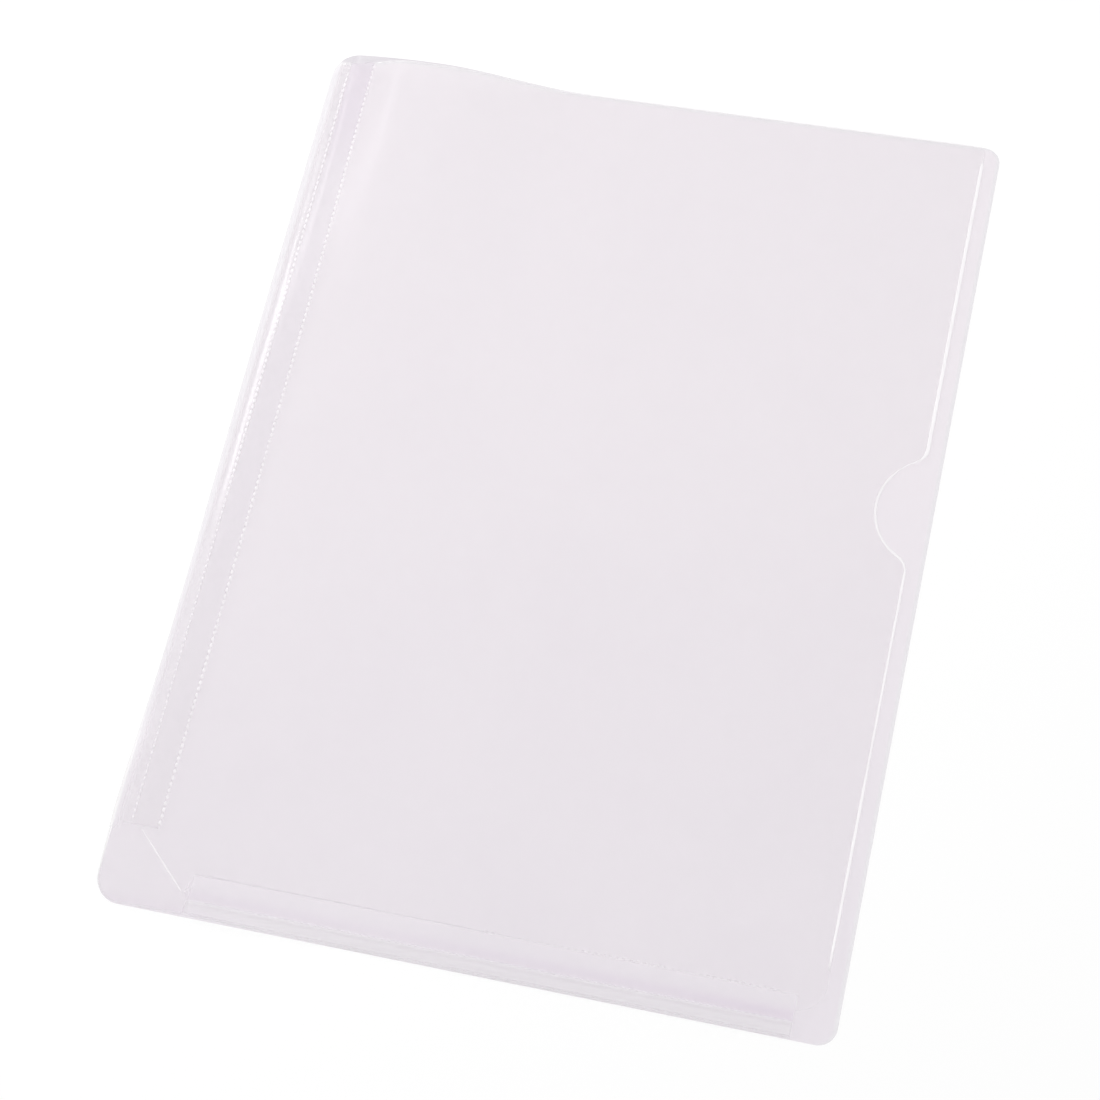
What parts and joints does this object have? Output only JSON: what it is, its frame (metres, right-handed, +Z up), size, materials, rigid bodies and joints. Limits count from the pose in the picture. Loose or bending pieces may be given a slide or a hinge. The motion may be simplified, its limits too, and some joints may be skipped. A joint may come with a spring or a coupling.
{
  "type": "expanding plastic pocket",
  "caption": "Flat clear film pocket for A4 paper, open at the top and right, with folded gussets down the left side and along the bottom and a round thumb notch.",
  "frame": {"origin": "centre of the back sheet's outline, on its underside", "axes": "+Y along the pocket towards its open top, +X towards its open right side, +Z up from the back sheet to the front sheet"},
  "size_m": [0.24, 0.315, 0.0083],
  "materials": {
    "sheet_film": "clear glossy film with a very slight lilac tint",
    "gusset_film": "the same clear glossy film, folded"
  },
  "bodies": {
    "back_sheet": {"back_sheet": "sheet_film"},
    "left_gusset_back_leaf": {"left_gusset_back_leaf": "gusset_film"},
    "left_gusset_front_leaf": {"left_gusset_front_leaf": "gusset_film"},
    "bottom_gusset_back_leaf": {"bottom_gusset_back_leaf": "gusset_film"},
    "bottom_gusset_front_leaf": {"bottom_gusset_front_leaf": "gusset_film"},
    "front_sheet": {"front_sheet": "sheet_film"},
    "front_sheet_corner": {"front_sheet_corner": "sheet_film"}
  },
  "joints": [
    {"name": "left_back_fold", "type": "hinge", "parent": "back_sheet", "child": "left_gusset_back_leaf", "pos_m": [-0.113, 0.013, 0.00095], "axis": [0, -1, 0], "range_deg": [0, 70]},
    {"name": "left_crease", "type": "hinge", "parent": "left_gusset_back_leaf", "child": "left_gusset_front_leaf", "pos_m": [-0.10424, 0.013, 0.00175], "axis": [0, -1, 0], "range_deg": [-140, 0]},
    {"name": "left_front_fold", "type": "hinge", "parent": "left_gusset_front_leaf", "child": "front_sheet", "pos_m": [-0.113, 0.013, 0.00255], "axis": [0, -1, 0], "range_deg": [0, 70]},
    {"name": "bottom_back_fold", "type": "hinge", "parent": "back_sheet", "child": "bottom_gusset_back_leaf", "pos_m": [0.009, -0.1525, 0.00095], "axis": [1, 0, 0], "range_deg": [0, 70]},
    {"name": "bottom_crease", "type": "hinge", "parent": "bottom_gusset_back_leaf", "child": "bottom_gusset_front_leaf", "pos_m": [0.009, -0.14374, 0.00175], "axis": [1, 0, 0], "range_deg": [-140, 0]},
    {"name": "corner_fold", "type": "hinge", "parent": "front_sheet", "child": "front_sheet_corner", "pos_m": [-0.10492, -0.14242, 0.00337], "axis": [0.7071, -0.7071, 0], "range_deg": [0, 70]}
  ],
  "couplings": [
    {"joint": "bottom_crease", "follows": "bottom_back_fold", "ratio": -2},
    {"joint": "left_back_fold", "follows": "bottom_back_fold", "ratio": 1},
    {"joint": "left_crease", "follows": "bottom_back_fold", "ratio": -2},
    {"joint": "left_front_fold", "follows": "bottom_back_fold", "ratio": 1},
    {"joint": "corner_fold", "follows": "bottom_back_fold", "ratio": 1}
  ]
}
